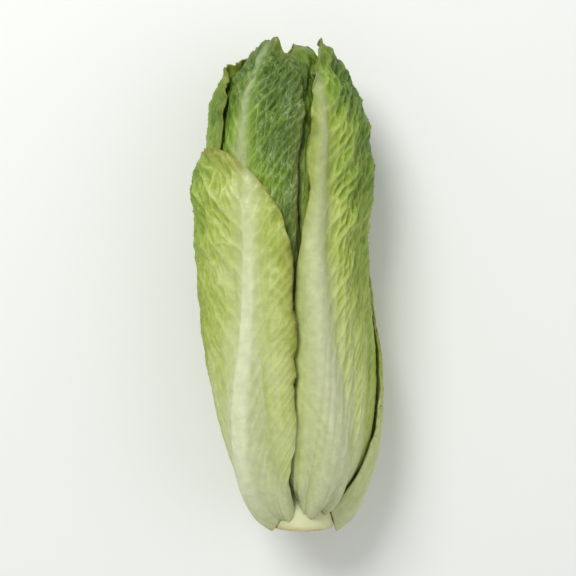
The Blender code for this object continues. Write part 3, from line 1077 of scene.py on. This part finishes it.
def stemProfile():
    # radius and rise out across the cut face, round its rim, up the cone and in to the point
    rootRadius = float(shellRadius(np.array(0.0)))
    slope = rootRadius / head["stemHeight"]
    top = (1.0 - head["heartSize"]) * head["stemHeight"] - stemCut["heartGap"]
    wide = rootRadius + cutStub * slope - stemCut["seatGap"]
    narrow = rootRadius - top * slope - stemCut["seatGap"]
    edge = stemCut["edge"]
    rimTurn = np.linspace(0, math.pi / 2, stemCut["rimRings"] + 1)[1:]
    sideShare = np.linspace(0.0, 1.0, stemCut["sideRings"] + 1)[1:]
    topShare = np.linspace(1, 0, stemCut["topRings"] + 1)[1:]
    radius = np.concatenate([
        np.linspace(0.0, wide - edge, stemCut["faceRings"]),
        wide - edge * (1 - np.sin(rimTurn)),
        wide + (narrow - wide) * sideShare,
        narrow * topShare,
    ])
    rise = np.concatenate([
        np.full(stemCut["faceRings"], -cutStub),
        -cutStub + edge * (1 - np.cos(rimTurn)),
        edge - cutStub + (top - edge + cutStub) * sideShare,
        np.full(len(topShare), top),
    ])
    return radius, rise, wide


def cutMarksMm(across, up, radius, wide):
    # how far the cut face sinks: at the middle by a smooth step, by the knife's sine waves,
    # which sway by another sine, and by noise
    sunkMm = stemCut["pithMm"] * (1 - smooth(radius / (stemCut["pithShare"] * wide)))
    rightShare, upShare = stemCut["knifeAcross"]
    sway = stemCut["knifeSway"] * np.sin(stemCut["knifeSwayWaves"] * up)
    knife = np.sin(stemCut["knifeWaves"] * (rightShare * across + upShare * up) + sway)
    pits = gentleNoise(stemCut["pitCells"] * across, stemCut["pitCells"] * up, stemCut["pitSeed"])
    return sunkMm + stemCut["knifeMm"] * (1 + knife) + stemCut["pitMm"] * (1 + pits)


def addStem():
    # The profile turned round the axis. The cut face has its marks, and the side has rings
    # of noise along the rise, which sway a little with the sine of twice the angle.
    radius, rise, wide = stemProfile()
    turn = np.linspace(0, wholeTurn, stemCut["columns"], endpoint=False)
    theta, radius = np.meshgrid(turn, radius)
    rise = np.broadcast_to(rise[:, np.newaxis], theta.shape)
    across, up = radius * np.cos(theta), radius * np.sin(theta)
    onFace = 1.0 - smooth((rise + cutStub) / (stemCut["faceFade"] * stemCut["edge"]))
    swaying = rise + stemCut["scarSway"] * np.sin(2 * theta)
    scars = gentleNoise(stemCut["pitCells"] * swaying, np.zeros(theta.shape), stemCut["scarSeed"])
    scarDepth = 0.001 * stemCut["scarMm"] * (scars - 1.0) * (1.0 - onFace)
    trimmed = 1.0 + scarDepth / np.maximum(radius, stemCut["scarLeast"])
    points = np.stack([
        across * trimmed + sideways(rise),
        rise + 0.001 * cutMarksMm(across, up, radius, wide) * onFace,
        head["depthRatio"] * up * trimmed,
    ], axis=-1)
    fromRimMm = 1000 * np.hypot(wide - np.minimum(radius, wide), rise + cutStub)
    patchX = stemCut["brownedPatches"] * np.cos(theta) + stemCut["brownedPlace"]
    patchY = stemCut["brownedPatches"] * np.sin(theta) + stemCut["brownedPlace"]
    patchy = gentleNoise(patchX, patchY, stemCut["brownedSeed"])
    patchy = stemCut["browned"] + stemCut["brownedMore"] * patchy
    looks = {
        "spread": radius / wide,
        "onSide": 1.0 - onFace,
        "browned": patchy * np.exp(-((fromRimMm / stemCut["browningMm"]) ** 2)),
    }
    mesh = roundMesh("lettuceStem", points + headShift, looks)
    linkPiece("lettuceStem", mesh, cutFlesh("cutStem"), "stem")


def cutFlesh(name):
    # Cut lettuce stem: wet pale flesh with a ring of bundles round a paler core, browning
    # at the rim. The eye sees a matt moist face with a faint target on it.
    material, tree, shader, where = newMaterial(name)
    fac = {}
    for key in ("spread", "onSide", "browned"):
        fac[key] = addNode(tree, "ShaderNodeAttribute", {"attribute_name": key}).outputs["Fac"]
    settings = {"Scale": 1000 / stemFinish["noiseMm"], "Detail": stemFinish["noiseDetail"]}
    noise = addNode(tree, "ShaderNodeTexNoise", settings, {"Vector": where}).outputs["Fac"]
    settings = {"operation": "MULTIPLY_ADD", 1: stemFinish["uneven"]}
    uneven = addNode(tree, "ShaderNodeMath", settings, {0: noise, 2: fac["spread"]}).outputs[0]
    settings = {"operation": "SUBTRACT", 1: stemFinish["uneven"] / 2}
    uneven = addNode(tree, "ShaderNodeMath", settings, {0: uneven}).outputs[0]
    settings = {"stops": tuple((stop, stemColours[key]) for key, stop in stemStops)}
    colour = addNode(tree, "ShaderNodeValToRGB", settings, {"Fac": uneven}).outputs["Color"]
    for key, source in (("side", fac["onSide"]), ("rust", fac["browned"])):
        settings = {"operation": "MULTIPLY", "use_clamp": True, 1: stemFinish[key]}
        share = addNode(tree, "ShaderNodeMath", settings, {0: source}).outputs[0]
        settings = {"data_type": "RGBA", 7: linear(stemColours[key])}
        colour = addNode(tree, "ShaderNodeMix", settings, {0: share, 6: colour}).outputs[2]
    tree.links.new(colour, shader.inputs["Base Color"])
    settings = {"Strength": stemFinish["bump"], "Distance": 0.001 * stemFinish["bumpMm"]}
    bump = addNode(tree, "ShaderNodeBump", settings, {"Height": noise}).outputs["Normal"]
    tree.links.new(bump, shader.inputs["Normal"])
    shader.inputs["Roughness"].default_value = stemFinish["roughness"]
    shader.inputs["Subsurface Weight"].default_value = stemFinish["subsurface"]
    shader.inputs["Subsurface Radius"].default_value = stemFinish["scatter"]
    shader.inputs["Subsurface Scale"].default_value = 0.001 * stemFinish["scatterMm"]
    return material


addStem()
print("heart and stem made")


# The floor, the light and the camera

studio = {
    "floor": "#eef0ec",
    "floorRoughness": 0.9,
    "floorSize": 24.0,  # so wide that in a low view its edge lies at the horizon
    "world": 0.50,
    "lens": 90.0,
    "sensor": 36.0,
    "frameShare": 0.86,  # the head's length as a part of the picture's height
}
lights = {
    "keyLight": {"power": 7.0, "size": 0.5, "position": (-0.36, 0.54, 0.84)},
    "fillLight": {"power": 1.6, "size": 0.9, "position": (0.78, -0.10, 0.72)},
}
lightTarget = Vector((0.0, 0.0, 0.03))


def addFloor():
    # one square of matt paper at the height that the head rests on
    half = studio["floorSize"] / 2
    mesh = bpy.data.meshes.new("studioFloor")
    corners = [(-half, -half, 0), (half, -half, 0), (half, half, 0), (-half, half, 0)]
    mesh.from_pydata(corners, [], [(0, 1, 2, 3)])
    floor = bpy.data.objects.new("studioFloor", mesh)
    bpy.context.scene.collection.objects.link(floor)
    material = bpy.data.materials.new("mattPaper")
    material.use_nodes = True
    shader = material.node_tree.nodes["Principled BSDF"]
    shader.inputs["Base Color"].default_value = linear(studio["floor"])
    shader.inputs["Roughness"].default_value = studio["floorRoughness"]
    mesh.materials.append(material)


def addAreaLight(name, power, size, position):
    # a round soft light that looks at the middle of the head
    data = bpy.data.lights.new(name, "AREA")
    data.energy = power
    data.shape = "DISK"
    data.size = size
    light = bpy.data.objects.new(name, data)
    light.location = position
    light.rotation_mode = "QUATERNION"
    light.rotation_quaternion = (lightTarget - Vector(position)).to_track_quat("-Z", "Y")
    bpy.context.scene.collection.objects.link(light)


def addCamera():
    # straight above, as far off as the lens needs for the head to fill its share
    data = bpy.data.cameras.new("topCamera")
    data.sensor_width = studio["sensor"]
    data.lens = studio["lens"]
    camera = bpy.data.objects.new("topCamera", data)
    length = cadBounds[1][1] - cadBounds[0][1]
    distance = length / studio["frameShare"] * data.lens / data.sensor_width
    camera.location = (0.0, 0.0, cadBounds[1][2] / 2 + distance)
    bpy.context.scene.collection.objects.link(camera)
    bpy.context.scene.camera = camera


addFloor()
for name, light in lights.items():
    addAreaLight(name, **light)
addCamera()
world = bpy.data.worlds.new("paleStudio")
world.use_nodes = True
world.node_tree.nodes["Background"].inputs["Color"].default_value = (1.0, 1.0, 1.0, 1.0)
world.node_tree.nodes["Background"].inputs["Strength"].default_value = studio["world"]
bpy.context.scene.world = world
bpy.context.scene.view_settings.view_transform = "Standard"
print("studio made")
